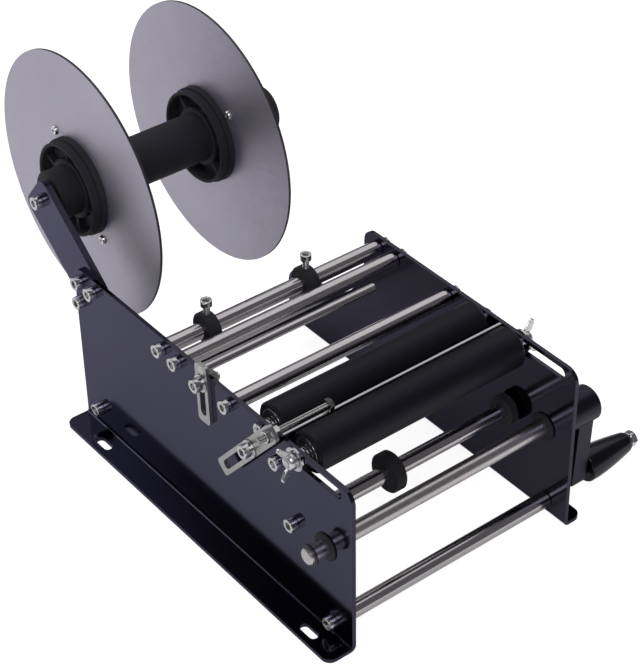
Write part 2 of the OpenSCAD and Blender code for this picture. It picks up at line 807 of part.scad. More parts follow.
module collar(x, p, r, w, turn) {
    color(ink) at(x, p) difference() {
        turned_x([[0, 0], [r - 1, 0], [r, 1], [r, w - 1], [r - 1, w], [0, w]]);
        translate([-1, 0, 0]) rod_x(w + 2, bar_r + run_fit);
        translate([w/2, 0, 0]) rotate([turn, 0, 0]) cylinder(h = r + 1, r = thumb_d/2 + run_fit);
    }
}

module thumb_screw(x, p, r) {
    color(zinc) at(x + collar_w/2, p) translate([0, 0, r + 6.5]) rotate([0, 90, 0]) cap_screw(r + 6.5 - bar_r - 0.4, thumb_d/2);
}

module guide_collar_left() {
    collar(guide_left_x, bars[0], guide_r, collar_w, 0);
}

module guide_screw_left() {
    thumb_screw(guide_left_x, bars[0], guide_r);
}

module guide_collar_right() {
    collar(guide_right_x, bars[0], guide_r, collar_w, 0);
}

module guide_screw_right() {
    thumb_screw(guide_right_x, bars[0], guide_r);
}

module liner_collar_left() {
    collar(liner_left_x, bars[5], liner_r, collar_w, 115);
}

module liner_collar_right() {
    collar(liner_right_x, bars[5], liner_right_r, liner_right_w, 115);
}

module clamp_washers(x, p, spacer) {
    color(zinc) {
        at(x - washer_t, p) ring_x(washer_t, head_r + 1.6, screw_r + run_fit);
        at(left_in + rub_gap, p) hex_nut(hex_af, nut_h, screw_r + run_fit);
        if (spacer > 0) at(-spacer, p) ring_x(spacer - rub_gap, head_r, screw_r + run_fit);
    }
}

module tension_clamp_screw() {
    l = plate_t + bracket_t + washer_t + nut_h + 3;
    color(zinc) at(-rub_gap*2 - bracket_t - washer_t, [tension_y, tension_z]) cap_screw(l);
}

module tension_clamp_nut() {
    clamp_washers(-rub_gap*2 - bracket_t, [tension_y, tension_z], 0);
}

module bracket(up, down, slot, hole) {
    difference() {
        round_bar(bracket_w, -down, up, 3);
        stadium([0, -slot + screw_r], [0, 0.01], screw_r + loose_fit);
        translate([0, hole[0]]) circle(hole[1]);
    }
}

module tension_bracket() {
    color(zinc) at(0, [tension_y, tension_z]) rotate([-tension_lean, 0, 0])
        sheet_x(-rub_gap - bracket_t, bracket_t) bracket(tension_up, tension_down, tension_slot, [rod_reach, rod_d/2]);
}

module tension_rod() {
    color(steel) at(-rub_gap - bracket_t, [rod_y, rod_z])
        turned_x([[0, 0], [rod_d/2, 0], [rod_d/2, rod_len - 1.5], [rod_d/2 - 1.5, rod_len], [0, rod_len]]);
}

module stop_clamp_screw() {
    l = plate_t + stop_gap + bracket_t + washer_t + nut_h + 2*rub_gap + 0.4;
    color(zinc) at(stop_out - rub_gap - washer_t, [stop_y, stop_z]) cap_screw(l);
}

module stop_clamp_nut() {
    clamp_washers(stop_out - rub_gap, [stop_y, stop_z], stop_gap - rub_gap);
}

module stop_bracket() {
    color(zinc) at(0, [stop_y, stop_z]) rotate([90 - stop_slope, 0, 0])
        sheet_x(stop_out, bracket_t) bracket(stop_up, stop_down, stop_slot, [stop_reach, bolt_r + run_fit]);
}

module stop_bolt() {
    color(zinc) at(stop_bolt_x, [stop_bolt_y, stop_bolt_z]) {
        turned_x([[0, 0], [bolt_r - 0.6, 0], [bolt_r, 0.6], [bolt_r, stop_bolt_len], [0, stop_bolt_len]]);
        translate([stop_bolt_len, 0, 0]) rotate([0, 90, 0])
            cylinder(h = bolt_d*0.7, r = bolt_af/sqrt(3), $fn = 6);
    }
}

module stop_nuts() {
    color(zinc) for (x = [stop_out - bolt_nut_h, stop_in]) at(x, [stop_bolt_y, stop_bolt_z])
        hex_nut(bolt_af, bolt_nut_h, bolt_r + run_fit);
}

place() left_side_plate();
place() right_side_plate();
place() reel_arm();
place() reel_arm_screws();
place() rear_top_bar();
place() second_bar();
place() third_bar();
place() rear_bottom_bar();
place() front_bottom_bar();
place() liner_bar();
place() frame_screws();
place() peel_plate();
place() winder_bushes();
place() reel_spindle();
place() reel_spindle_screw();
place() rear_roller_axle();
place() rear_roller_spacers();
place() rear_roller_nuts();
place() winder_shaft();
place() winder_snap_ring();
place() crank_arm();
place() crank_set_screw();
place() handle_spindle();
place() handle_nut();
place() handle_grip();
place() reel_tube();
place() reel_bushes();
place() inner_hub();
place() inner_disc();
place() inner_disc_screws();
place() outer_hub();
place() outer_disc();
place() outer_disc_screws();
place() rear_roller_sleeve();
place() rear_roller_core();
place() rear_roller_bearings();
place() front_roller_axle();
place() front_roller_washers();
place() front_roller_spacers();
place() wing_nut_left();
place() wing_nut_right();
place() front_roller_sleeve();
place() front_roller_core();
place() front_roller_bearings();
place() guide_collar_left();
place() guide_screw_left();
place() guide_collar_right();
place() guide_screw_right();
place() liner_collar_left();
place() liner_collar_right();
place() tension_clamp_screw();
place() tension_clamp_nut();
place() tension_bracket();
place() tension_rod();
place() stop_clamp_screw();
place() stop_clamp_nut();
place() stop_bracket();
place() stop_bolt();
place() stop_nuts();
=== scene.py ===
"""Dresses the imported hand-cranked bottle labeling machine and sets its studio picture."""

import logging
import math
from dataclasses import dataclass
from enum import Enum
from typing import Callable, Iterable, Sequence

import bmesh
import bpy
from mathutils import Matrix, Vector


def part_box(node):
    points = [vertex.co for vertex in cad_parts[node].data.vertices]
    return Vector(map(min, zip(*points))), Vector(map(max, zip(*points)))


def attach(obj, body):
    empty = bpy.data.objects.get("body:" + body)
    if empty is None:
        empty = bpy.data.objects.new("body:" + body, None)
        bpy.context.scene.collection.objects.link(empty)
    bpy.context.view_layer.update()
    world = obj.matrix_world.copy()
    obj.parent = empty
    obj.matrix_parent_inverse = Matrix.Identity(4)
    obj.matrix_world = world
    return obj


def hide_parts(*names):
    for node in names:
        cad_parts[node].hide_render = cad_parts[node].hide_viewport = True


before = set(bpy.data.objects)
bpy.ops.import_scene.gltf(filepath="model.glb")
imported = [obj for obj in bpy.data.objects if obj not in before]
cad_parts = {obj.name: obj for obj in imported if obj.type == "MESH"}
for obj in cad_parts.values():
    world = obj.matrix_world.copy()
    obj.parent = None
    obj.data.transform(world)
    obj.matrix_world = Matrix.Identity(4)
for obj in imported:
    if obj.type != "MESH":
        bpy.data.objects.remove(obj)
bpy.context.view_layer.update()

LOG = logging.getLogger("labeler")
MM = 0.001
Colour = tuple[float, float, float]


class Pattern(Enum):
    """How a surface was made, which decides the marks it carries."""

    COATED = "coated"
    TURNED = "turned"
    PLATED = "plated"
    SHEET = "sheet"
    MOULDED = "moulded"
    RUBBER = "rubber"


class Side(Enum):
    """One of the two side plates; the value is the outward direction along X."""

    LEFT = -1
    RIGHT = 1


@dataclass(frozen=True)
class Ramp:
    """Two stops that turn a noise value into a smaller range."""

    low: float
    high: float


NOISE_SPAN = Ramp(0.3, 0.7)
GRAIN_DETAIL = 4.0
STREAK_DETAIL = 5.0
DRIFT_GRAIN = 14.0
EDGE_SAMPLES = 4
RIM_FACING = 0.6


class Effects:
    """The shader node groups that several finishes share, each built once."""

    def __init__(self) -> None:
        """Start with no groups."""
        self._made: dict[str, bpy.types.NodeTree] = {}

    def group(self, name: str, build: Callable[[bpy.types.NodeTree], None]) -> bpy.types.NodeTree:
        """Return a node group, building it on first use.

        Args:
            name: the group's name.
            build: fills the empty node tree.

        Returns:
            The node group.
        """
        if name not in self._made:
            tree = bpy.data.node_groups.new(name, "ShaderNodeTree")
            build(tree)
            self._made[name] = tree
        return self._made[name]

    @staticmethod
    def _noise(tree: bpy.types.NodeTree, detail: float) -> tuple[bpy.types.Node, bpy.types.Node]:
        """Place a noise that drives a group's Value and Height.

        Args:
            tree: the group.
            detail: how fine the noise goes.

        Returns:
            The noise and the group's input node.
        """
        socket(tree, "Low", "INPUT", 0.0)
        socket(tree, "High", "INPUT", 1.0)
        socket(tree, "Value", "OUTPUT")
        socket(tree, "Height", "OUTPUT")
        start, end = ends(tree)
        noise = tree.nodes.new("ShaderNodeTexNoise")
        noise.inputs["Detail"].default_value = detail
        spread = tree.nodes.new("ShaderNodeMapRange")
        spread.inputs["From Min"].default_value = NOISE_SPAN.low
        spread.inputs["From Max"].default_value = NOISE_SPAN.high
        wire(tree, (noise, "Fac", spread, "Value"), (start, "Low", spread, "To Min"),
             (start, "High", spread, "To Max"), (spread, "Result", end, "Value"),
             (noise, "Fac", end, "Height"))
        return noise, start

    def speckle(self) -> bpy.types.NodeTree:
        """Fine grain: a noise of a given grain size, as a value and as a height."""

        def build(tree: bpy.types.NodeTree) -> None:
            """Fill the speckle group."""
            socket(tree, "Grain", "INPUT", 900.0)
            noise, start = self._noise(tree, GRAIN_DETAIL)
            coords = tree.nodes.new("ShaderNodeTexCoord")
            wire(tree, (coords, "Object", noise, "Vector"), (start, "Grain", noise, "Scale"))

        return self.group("speckle", build)

    def streaks(self) -> bpy.types.NodeTree:
        """Fine tool marks: noise drawn out by a stretch along each axis."""

        def build(tree: bpy.types.NodeTree) -> None:
            """Fill the streaks group."""
            socket(tree, "Stretch", "INPUT", (1.0, 1.0, 1.0), "NodeSocketVector")
            noise, start = self._noise(tree, STREAK_DETAIL)
            noise.inputs["Scale"].default_value = 1.0
            coords = tree.nodes.new("ShaderNodeTexCoord")
            stretch = tree.nodes.new("ShaderNodeVectorMath")
            stretch.operation = "MULTIPLY"
            wire(tree, (coords, "Object", stretch, 0), (start, "Stretch", stretch, 1),
                 (stretch, "Vector", noise, "Vector"))

        return self.group("streaks", build)

    def rubbed_edge(self) -> bpy.types.NodeTree:
        """A soft edge: the rounded normal, and a mask where the surface turns sharply."""

        def build(tree: bpy.types.NodeTree) -> None:
            """Fill the rubbed edge group."""
            socket(tree, "Radius", "INPUT", 0.4 * MM)
            socket(tree, "Strength", "INPUT", 3.0)
            socket(tree, "Mask", "OUTPUT")
            socket(tree, "Normal", "OUTPUT", None, "NodeSocketVector")
            start, end = ends(tree)
            bevel = tree.nodes.new("ShaderNodeBevel")
            bevel.samples = EDGE_SAMPLES
            geometry = tree.nodes.new("ShaderNodeNewGeometry")
            dot = tree.nodes.new("ShaderNodeVectorMath")
            dot.operation = "DOT_PRODUCT"
            turned = maths(tree, "SUBTRACT")
            turned.inputs[0].default_value = 1.0
            scale = maths(tree, "MULTIPLY")
            scale.use_clamp = True
            wire(tree, (start, "Radius", bevel, "Radius"), (bevel, "Normal", dot, 0),
                 (geometry, "Normal", dot, 1), (dot, "Value", turned, 1), (turned, "Value", scale, 0),
                 (start, "Strength", scale, 1), (scale, "Value", end, "Mask"),
                 (bevel, "Normal", end, "Normal"))

        return self.group("rubbed_edge", build)

    def rim(self) -> bpy.types.NodeTree:
        """A sheet's cut rim: a mask that is 1 where the surface faces away from the X axis."""

        def build(tree: bpy.types.NodeTree) -> None:
            """Fill the rim group."""
            socket(tree, "Mask", "OUTPUT")
            _, end = ends(tree)
            coords = tree.nodes.new("ShaderNodeTexCoord")
            split = tree.nodes.new("ShaderNodeSeparateXYZ")
            size = maths(tree, "ABSOLUTE")
            low = maths(tree, "LESS_THAN")
            low.inputs[1].default_value = RIM_FACING
            wire(tree, (coords, "Normal", split, "Vector"), (split, "X", size, 0), (size, "Value", low, 0),
                 (low, "Value", end, "Mask"))

        return self.group("rim", build)

    def tone(self) -> bpy.types.NodeTree:
        """A colour that drifts between two tones, with a third tone where a mask says so."""

        def build(tree: bpy.types.NodeTree) -> None:
            """Fill the tone group."""
            for name in ("Dark", "Light", "Worn"):
                socket(tree, name, "INPUT", (0.5, 0.5, 0.5, 1.0), "NodeSocketColor")
            socket(tree, "Drift", "INPUT", 0.5)
            socket(tree, "Wear", "INPUT", 0.0)
            socket(tree, "Colour", "OUTPUT", None, "NodeSocketColor")
            start, end = ends(tree)
            drift = colour_mix(tree)
            wear = colour_mix(tree)
            wire(tree, (start, "Drift", drift, "Factor"), (start, "Dark", drift, "A"),
                 (start, "Light", drift, "B"), (start, "Wear", wear, "Factor"), (drift, "Result", wear, "A"),
                 (start, "Worn", wear, "B"), (wear, "Result", end, "Colour"))

        return self.group("tone", build)


class MixSockets:
    """The colour sockets of a Mix node, by their plain names."""

    def __init__(self, node: bpy.types.Node) -> None:
        """Pick the colour sockets out of the node's many."""
        self.inputs = {
            "Factor": node.inputs[0],
            "A": next(s for s in node.inputs if s.identifier == "A_Color"),
            "B": next(s for s in node.inputs if s.identifier == "B_Color"),
        }
        self.outputs = {"Result": next(s for s in node.outputs if s.identifier == "Result_Color")}


def colour_mix(tree: bpy.types.NodeTree) -> MixSockets:
    """Add a colour Mix node to a tree and return its sockets."""
    node = tree.nodes.new("ShaderNodeMix")
    node.data_type = "RGBA"
    return MixSockets(node)


Wire = tuple[object, str, object, str | int]


def wire(tree: bpy.types.NodeTree, *wires: Wire) -> None:
    """Link nodes of a tree.

    Args:
        tree: the node tree.
        wires: (node, its output, next node, its input) for each link.
    """
    for first, leaves, second, enters in wires:
        tree.links.new(first.outputs[leaves], second.inputs[enters])


def maths(tree: bpy.types.NodeTree, operation: str) -> bpy.types.Node:
    """Add a Math node that does one operation to a tree and return it."""
    node = tree.nodes.new("ShaderNodeMath")
    node.operation = operation
    return node


def socket(
    tree: bpy.types.NodeTree,
    name: str,
    way: str,
    value: object = None,
    kind: str = "NodeSocketFloat",
) -> None:
    """Add a socket to a node group's interface.

    Args:
        tree: the node group.
        name: the socket's name.
        way: INPUT or OUTPUT.
        value: the default value, or None.
        kind: the socket's type.
    """
    made = tree.interface.new_socket(name=name, in_out=way, socket_type=kind)
    if value is not None:
        made.default_value = value


def ends(tree: bpy.types.NodeTree) -> tuple[bpy.types.Node, bpy.types.Node]:
    """Add a group's input and output nodes and return both."""
    return tree.nodes.new("NodeGroupInput"), tree.nodes.new("NodeGroupOutput")


EFFECTS = Effects()


@dataclass(frozen=True)
class Finish:
    """One surface finish and the material made from it."""

    name: str
    slot: str
    pattern: Pattern
    dark: Colour
    light: Colour
    worn: Colour
    roughness: Ramp
    metallic: float = 0.0
    grain: float = 900.0
    stretch: tuple[float, float, float] = (1.0, 1.0, 1.0)
    bump: float = 0.1
    bump_depth: float = 0.02
    edge: float = 0.4
    edge_strength: float = 2.0
    specular: float = 0.5
    tint: Colour = (1.0, 1.0, 1.0)
    rimmed: bool = False

    def material(self) -> bpy.types.Material:
        """Return this finish's material, building it on first use."""
        found = bpy.data.materials.get(self.name)
        if found:
            return found
        made = bpy.data.materials.new(self.name)
        made.use_nodes = True
        tree = made.node_tree
        shader = tree.nodes["Principled BSDF"]
        shader.inputs["Metallic"].default_value = self.metallic
        shader.inputs["Specular IOR Level"].default_value = self.specular
        shader.inputs["Specular Tint"].default_value = (*self.tint, 1.0)
        marks = self._marks(tree)
        edge = place_group(tree, EFFECTS.rubbed_edge())
        edge.inputs["Radius"].default_value = self.edge * MM
        edge.inputs["Strength"].default_value = self.edge_strength
        drift = place_group(tree, EFFECTS.speckle())
        drift.inputs["Grain"].default_value = DRIFT_GRAIN
        tone = place_group(tree, EFFECTS.tone())
        for name, colour in (("Dark", self.dark), ("Light", self.light), ("Worn", self.worn)):
            tone.inputs[name].default_value = (*colour, 1.0)
        bump = tree.nodes.new("ShaderNodeBump")
        bump.inputs["Strength"].default_value = self.bump
        bump.inputs["Distance"].default_value = self.bump_depth * MM
        worn = place_group(tree, EFFECTS.rim()) if self.rimmed else edge
        wire(tree, (drift, "Value", tone, "Drift"), (worn, "Mask", tone, "Wear"),
             (tone, "Colour", shader, "Base Color"), (marks, "Value", shader, "Roughness"),
             (marks, "Height", bump, "Height"), (edge, "Normal", bump, "Normal"),
             (bump, "Normal", shader, "Normal"))
        return made

    def _marks(self, tree: bpy.types.NodeTree) -> bpy.types.Node:
        """Place the group that draws this finish's tool marks or grain.

        Args:
            tree: the material's node tree.

        Returns:
            The placed group, with a Value for roughness and a Height for bump.
        """
        drawn = self.pattern in (Pattern.TURNED, Pattern.SHEET)
        marks = place_group(tree, EFFECTS.streaks() if drawn else EFFECTS.speckle())
        if drawn:
            marks.inputs["Stretch"].default_value = self.stretch
        else:
            marks.inputs["Grain"].default_value = self.grain
        marks.inputs["Low"].default_value = self.roughness.low
        marks.inputs["High"].default_value = self.roughness.high
        return marks

    def dress(self, *names: str) -> None:
        """Give this finish to CAD nodes by name."""
        for name in names:
            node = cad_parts[name]
            if not node.material_slots:
                node.data.materials.append(None)
            for place in node.material_slots:
                place.material = self.material()


def place_group(tree: bpy.types.NodeTree, group: bpy.types.NodeTree) -> bpy.types.Node:
    """Place a node group in a material's tree and return its node."""
    node = tree.nodes.new("ShaderNodeGroup")
    node.node_tree = group
    return node


# The gloss coat is set as a metal. Its colours are what it mirrors head-on, and its tint is what it mirrors
# at a slant. The blue cast in these colours and this tint is painted reflection: it stands for bluish
# surroundings mirrored in the coat, not a colour of the coat itself.
BLACK_COAT = Finish(
    "black_coat", "black_paint", Pattern.COATED, (0.052, 0.051, 0.071), (0.058, 0.057, 0.078),
    (0.064, 0.063, 0.080), Ramp(0.09, 0.14), metallic=1.0, grain=2200.0, bump=0.06, bump_depth=0.008,
    edge=0.55, edge_strength=1.2, tint=(0.83, 0.815, 1.0),
)
CRANK_COAT = Finish(
    "crank_coat", "black_paint", Pattern.COATED, (0.0030, 0.0028, 0.0042), (0.0050, 0.0047, 0.0066),
    (0.026, 0.025, 0.032), Ramp(0.30, 0.42), grain=2600.0, bump=0.12, bump_depth=0.015, edge=0.6,
    edge_strength=1.4, specular=0.6, tint=(0.66, 0.62, 1.0),
)
BAR_STEEL = Finish(
    "bar_steel", "steel", Pattern.TURNED, (0.58, 0.550, 0.565), (0.66, 0.630, 0.645), (0.76, 0.74, 0.75),
    Ramp(0.14, 0.20), metallic=1.0, stretch=(500.0, 60.0, 60.0), bump=0.03, bump_depth=0.01, edge=0.3,
)
BRIGHT_STEEL = Finish(
    "bright_steel", "steel", Pattern.TURNED, (0.55, 0.54, 0.55), (0.64, 0.63, 0.64), (0.75, 0.74, 0.75),
    Ramp(0.16, 0.30), metallic=1.0, stretch=(60.0, 700.0, 700.0), bump=0.05, bump_depth=0.01, edge=0.3,
)
SATIN_STEEL = Finish(
    "satin_steel", "steel", Pattern.TURNED, (0.64, 0.605, 0.615), (0.70, 0.665, 0.675), (0.80, 0.77, 0.78),
    Ramp(0.26, 0.36), metallic=1.0, stretch=(500.0, 60.0, 60.0), bump=0.04, bump_depth=0.01, edge=0.3,
)
ZINC = Finish(
    "zinc_plate", "zinc", Pattern.PLATED, (0.58, 0.58, 0.59), (0.68, 0.68, 0.69), (0.84, 0.84, 0.85),
    Ramp(0.10, 0.20), metallic=1.0, grain=900.0, bump=0.03, bump_depth=0.01, edge=0.25,
)
CAST_ZINC = Finish(
    "cast_zinc", "zinc", Pattern.PLATED, (0.74, 0.74, 0.76), (0.82, 0.82, 0.84), (0.92, 0.92, 0.93),
    Ramp(0.22, 0.34), metallic=1.0, grain=700.0, bump=0.05, bump_depth=0.02, edge=0.4,
)
BOLT_STEEL = Finish(
    "bolt_steel", "zinc", Pattern.PLATED, (0.30, 0.29, 0.29), (0.40, 0.39, 0.39), (0.62, 0.61, 0.61),
    Ramp(0.18, 0.32), metallic=1.0, grain=1600.0, bump=0.05, bump_depth=0.01, edge=0.2,
)
BRACKET_ZINC = Finish(
    "bracket_zinc", "zinc", Pattern.SHEET, (0.44, 0.44, 0.44), (0.54, 0.54, 0.54), (0.74, 0.74, 0.74),
    Ramp(0.28, 0.44), metallic=1.0, stretch=(40.0, 900.0, 120.0), bump=0.08, bump_depth=0.02, edge=0.35,
)
CHROME = Finish(
    "chrome", "chrome", Pattern.PLATED, (0.86, 0.86, 0.87), (0.90, 0.90, 0.91), (0.94, 0.94, 0.95),
    Ramp(0.06, 0.14), metallic=1.0, grain=300.0, bump=0.02, bump_depth=0.01, edge=0.3,
)
BLACK_PLASTIC = Finish(
    "black_plastic", "black_plastic", Pattern.MOULDED, (0.0020, 0.0019, 0.0028), (0.0034, 0.0032, 0.0046),
    (0.030, 0.029, 0.036), Ramp(0.20, 0.30), grain=3200.0, bump=0.08, bump_depth=0.012, edge=0.30,
    edge_strength=2.0, specular=0.16,
)
GRIP_GLOSS = Finish(
    "grip_gloss", "black_plastic", Pattern.MOULDED, (0.0016, 0.0016, 0.0024), (0.0026, 0.0026, 0.0036),
    (0.010, 0.010, 0.013), Ramp(0.20, 0.28), grain=600.0, bump=0.03, bump_depth=0.01, edge=0.4,
    edge_strength=1.2, specular=0.5, tint=(0.80, 0.79, 1.0),
)
BLACK_OXIDE = Finish(
    "black_oxide", "black_oxide", Pattern.PLATED, (0.018, 0.018, 0.020), (0.030, 0.030, 0.034),
    (0.10, 0.10, 0.11), Ramp(0.28, 0.44), metallic=0.6, grain=2400.0, bump=0.1, edge=0.2,
)
DISC_SHEET = Finish(
    "disc_sheet", "disc_grey", Pattern.SHEET, (0.550, 0.522, 0.622), (0.588, 0.559, 0.665),
    (0.10, 0.095, 0.115), Ramp(0.42, 0.56), metallic=0.85, stretch=(30.0, 120.0, 1300.0), bump=0.05,
    bump_depth=0.015, edge=0.5, rimmed=True,
)
ROLLER_RUBBER = Finish(
    "roller_rubber", "rubber", Pattern.RUBBER, (0.0026, 0.0026, 0.0038), (0.0046, 0.0045, 0.0062),
    (0.016, 0.016, 0.020), Ramp(0.44, 0.62), grain=1800.0, bump=0.16, bump_depth=0.03, edge=0.6,
    edge_strength=1.0, specular=0.40, tint=(0.80, 0.80, 1.0),
)


@dataclass(frozen=True)
class Seat:
    """Where a turned piece sits: a point on its axis, the axis, and a direction across it."""

    origin: Vector
    axis: Vector
    across: Vector

    @staticmethod
    def along_x(point: Vector, way: float = 1.0, turn: float = 0.0) -> "Seat":
        """Make a seat whose axis runs along X.

        Args:
            point: a point on the axis.
            way: 1 for +X, -1 for -X.
            turn: how far the across direction is turned from +Z towards +Y, in radians.

        Returns:
            The seat.
        """
        across = Vector((0.0, math.sin(turn), math.cos(turn)))
        return Seat(point, Vector((way, 0.0, 0.0)), across)

    def at(self, x: float, radius: float, angle: float) -> Vector:
        """Return the point at a distance along the axis, a radius and an angle."""
        side = self.axis.cross(self.across)
        out = self.across * math.cos(angle) + side * math.sin(angle)
        return self.origin + self.axis * x + out * radius


Radius = Callable[[float], float]


def hexagon(across_flats: float) -> Radius:
    """Return the radius of a hexagon as a function of the angle."""

    def radius(angle: float) -> float:
        """Distance from the centre to the hexagon's side at an angle."""
        turn = (angle + math.pi / 6) % (math.pi / 3) - math.pi / 6
        return across_flats / 2 / math.cos(turn)

    return radius


Station = tuple[float | Radius, float | Radius]
PLATE_T = 3.0 * MM
CAP_SHARE = 5 / 6
FINE, MEDIUM, COARSE = 72, 64, 48
NUT_CROWN = 0.985
NUT_SLOPE = math.tan(math.radians(30))
THREAD_LEAD = 0.4 * MM
BORE_PLAY = 0.05 * MM
SAME_POINT = 0.001 * MM
NO_LENGTH = 0.0001 * MM


class PieceMesh:
    """Collects rings and outlines into one mesh, then makes it a named piece on a body."""

    def __init__(self) -> None:
        """Start with an empty mesh."""
        self.bm = bmesh.new()

    def rings(self, seat: Seat, stations: Sequence[Station], segments: int, closed: bool = False) -> None:
        """Skin a row of rings about a seat's axis.

        Args:
            seat: where the rings sit.
            stations: (place along the axis, radius), each a number or a function of the angle.
            segments: how many points each ring has.
            closed: join the last ring to the first, as for a tube or a nut.
        """
        angles = [2 * math.pi * i / segments for i in range(segments)]
        loops = []
        for place, radius in stations:
            loop = []
            for angle in angles:
                x = place(angle) if callable(place) else place
                r = radius(angle) if callable(radius) else radius
                loop.append(self.bm.verts.new(seat.at(x, max(r, 0.0), angle)))
            loops.append(loop)
        pairs = list(zip(loops, loops[1:]))
        if closed:
            pairs.append((loops[-1], loops[0]))
        for first, second in pairs:
            for i in range(segments):
                j = (i + 1) % segments
                self.bm.faces.new((first[i], first[j], second[j], second[i]))

    def nut(self, seat: Seat, height: float, across: float, bore: float) -> None:
        """Add a hexagon nut whose corners are chamfered at both ends.

        Args:
            seat: the middle of the face it starts from.
            height: its height along the axis.
            across: its size across the flats.
            bore: the radius of its hole.
        """
        side = hexagon(across)
        crown = across / 2 * NUT_CROWN

        def lead(angle: float) -> float:
            """Depth of the chamfer at an angle."""
            return max(side(angle) - crown, 0.0) * NUT_SLOPE

        def face(angle: float) -> float:
            """Radius of the chamfered face at an angle."""
            return min(side(angle), crown)

        stations = [(THREAD_LEAD, bore), (0.0, bore + THREAD_LEAD), (0.0, face), (lead, side),
                    (lambda a: height - lead(a), side), (height, face),
                    (height, bore + THREAD_LEAD), (height - THREAD_LEAD, bore)]
        self.rings(seat, stations, FINE, closed=True)

    def cap_head(self, seat: Seat, thread: float, segments: int = 96) -> None:
        """Add a smooth socket head, standing on the seat and facing along its axis.

        Args:
            seat: the middle of the surface under the head, with the axis out of it.
            thread: the screw's thread diameter.
            segments: points round the rim.
        """
        height = thread
        rim = thread * CAP_SHARE
        socket_side = hexagon(thread * CAP_SHARE)
        mouth = thread * 0.52
        floor = height - thread * 0.55
        point = floor - thread * 0.25
        lip, soft = 0.45 * MM, 0.25 * MM
        stations = [
            (point, 0.0), (floor, socket_side), (height - soft, socket_side), (height, mouth),
            (height, rim - lip), (height - lip * 0.4, rim - lip * 0.25), (height - lip, rim),
            (lip * 0.5, rim), (0.0, rim - soft), (0.0, 0.0)]
        self.rings(seat, stations, segments)

    def thread(self, seat: Seat, length: float, diameter: float, pitch: float, segments: int = 28) -> None:
        """Add a threaded shank whose ridge winds along the seat's axis.

        Args:
            seat: the middle of the end it starts from.
            length: its length.
            diameter: its outer diameter.
            pitch: the distance between ridges.
            segments: points round the shank.
        """
        depth = pitch * 0.36
        outer = diameter / 2
        steps_a_turn = 6
        end_trim = 0.15
        steps = max(2, round(length / pitch * steps_a_turn))

        def ridge(x: float) -> Radius:
            """Radius of the ridge at a place along the shank."""
            trim = min(1.0, min(x, length - x) / pitch + end_trim)

            def radius(angle: float) -> float:
                """Radius of the ridge at an angle."""
                phase = (x / pitch - angle / (2 * math.pi)) % 1.0
                return outer - depth * abs(2 * phase - 1) - (1 - trim) * depth

            return radius

        places = [length * i / steps for i in range(steps + 1)]
        stations: list[Station] = [(0.0, 0.0)]
        stations += [(x, ridge(x)) for x in places]
        stations.append((length, 0.0))
        self.rings(seat, stations, segments)

    def slab(
        self, seat: Seat, outline: Iterable[tuple[float, float]], thickness: float, angle: float,
    ) -> None:
        """Add a flat wing: an outline of (along axis, radius) points given a thickness.

        Args:
            seat: the axis that the outline is drawn on.
            outline: the outline's points, in order.
            thickness: the wing's thickness.
            angle: the direction in which the wing points, round the axis.
        """
        sideways = seat.at(0.0, 1.0, angle + math.pi / 2) - seat.origin
        faces = []
        for side in (-0.5, 0.5):
            shift = sideways * thickness * side
            faces.append([self.bm.verts.new(seat.at(x, r, angle) + shift) for x, r in outline])
        self.bm.faces.new(faces[0])
        self.bm.faces.new(list(reversed(faces[1])))
        count = len(faces[0])
        for i in range(count):
            j = (i + 1) % count
            self.bm.faces.new((faces[0][j], faces[0][i], faces[1][i], faces[1][j]))

    def piece(
        self, name: str, finish: Finish, body: str, replaces: Sequence[str] = (), sharp: float = 35.0,
    ) -> bpy.types.Object:
        """Turn the mesh into a piece that rides on a body.

        Args:
            name: the piece's name.
            finish: its finish.
            body: the CAD body it rides on.
            replaces: the CAD nodes it stands for.
            sharp: edges that turn by more than this many degrees stay sharp.

        Returns:
            The new object.
        """
        bmesh.ops.remove_doubles(self.bm, verts=self.bm.verts, dist=SAME_POINT)
        bmesh.ops.dissolve_degenerate(self.bm, edges=self.bm.edges, dist=NO_LENGTH)
        bmesh.ops.recalc_face_normals(self.bm, faces=self.bm.faces)
        mesh = bpy.data.meshes.new(name)
        self.bm.to_mesh(mesh)
        self.bm.free()
        mesh.shade_smooth()
        mesh.set_sharp_from_angle(angle=math.radians(sharp))
        made = bpy.data.objects.new(name, mesh)
        bpy.context.scene.collection.objects.link(made)
        made.data.materials.append(finish.material())
        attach(made, body)
        if replaces:
            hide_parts(*replaces)
        LOG.info("piece %s rides on %s", name, body)
        return made


def centre(node: str) -> Vector:
    """Return the middle of a CAD node's box."""
    low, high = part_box(node)
    return (Vector(low) + Vector(high)) / 2


def on_axis(node: str, x: float) -> Vector:
    """Return the point at X on the axis of a CAD node that lies along X."""
    middle = centre(node)
    return Vector((x, middle.y, middle.z))


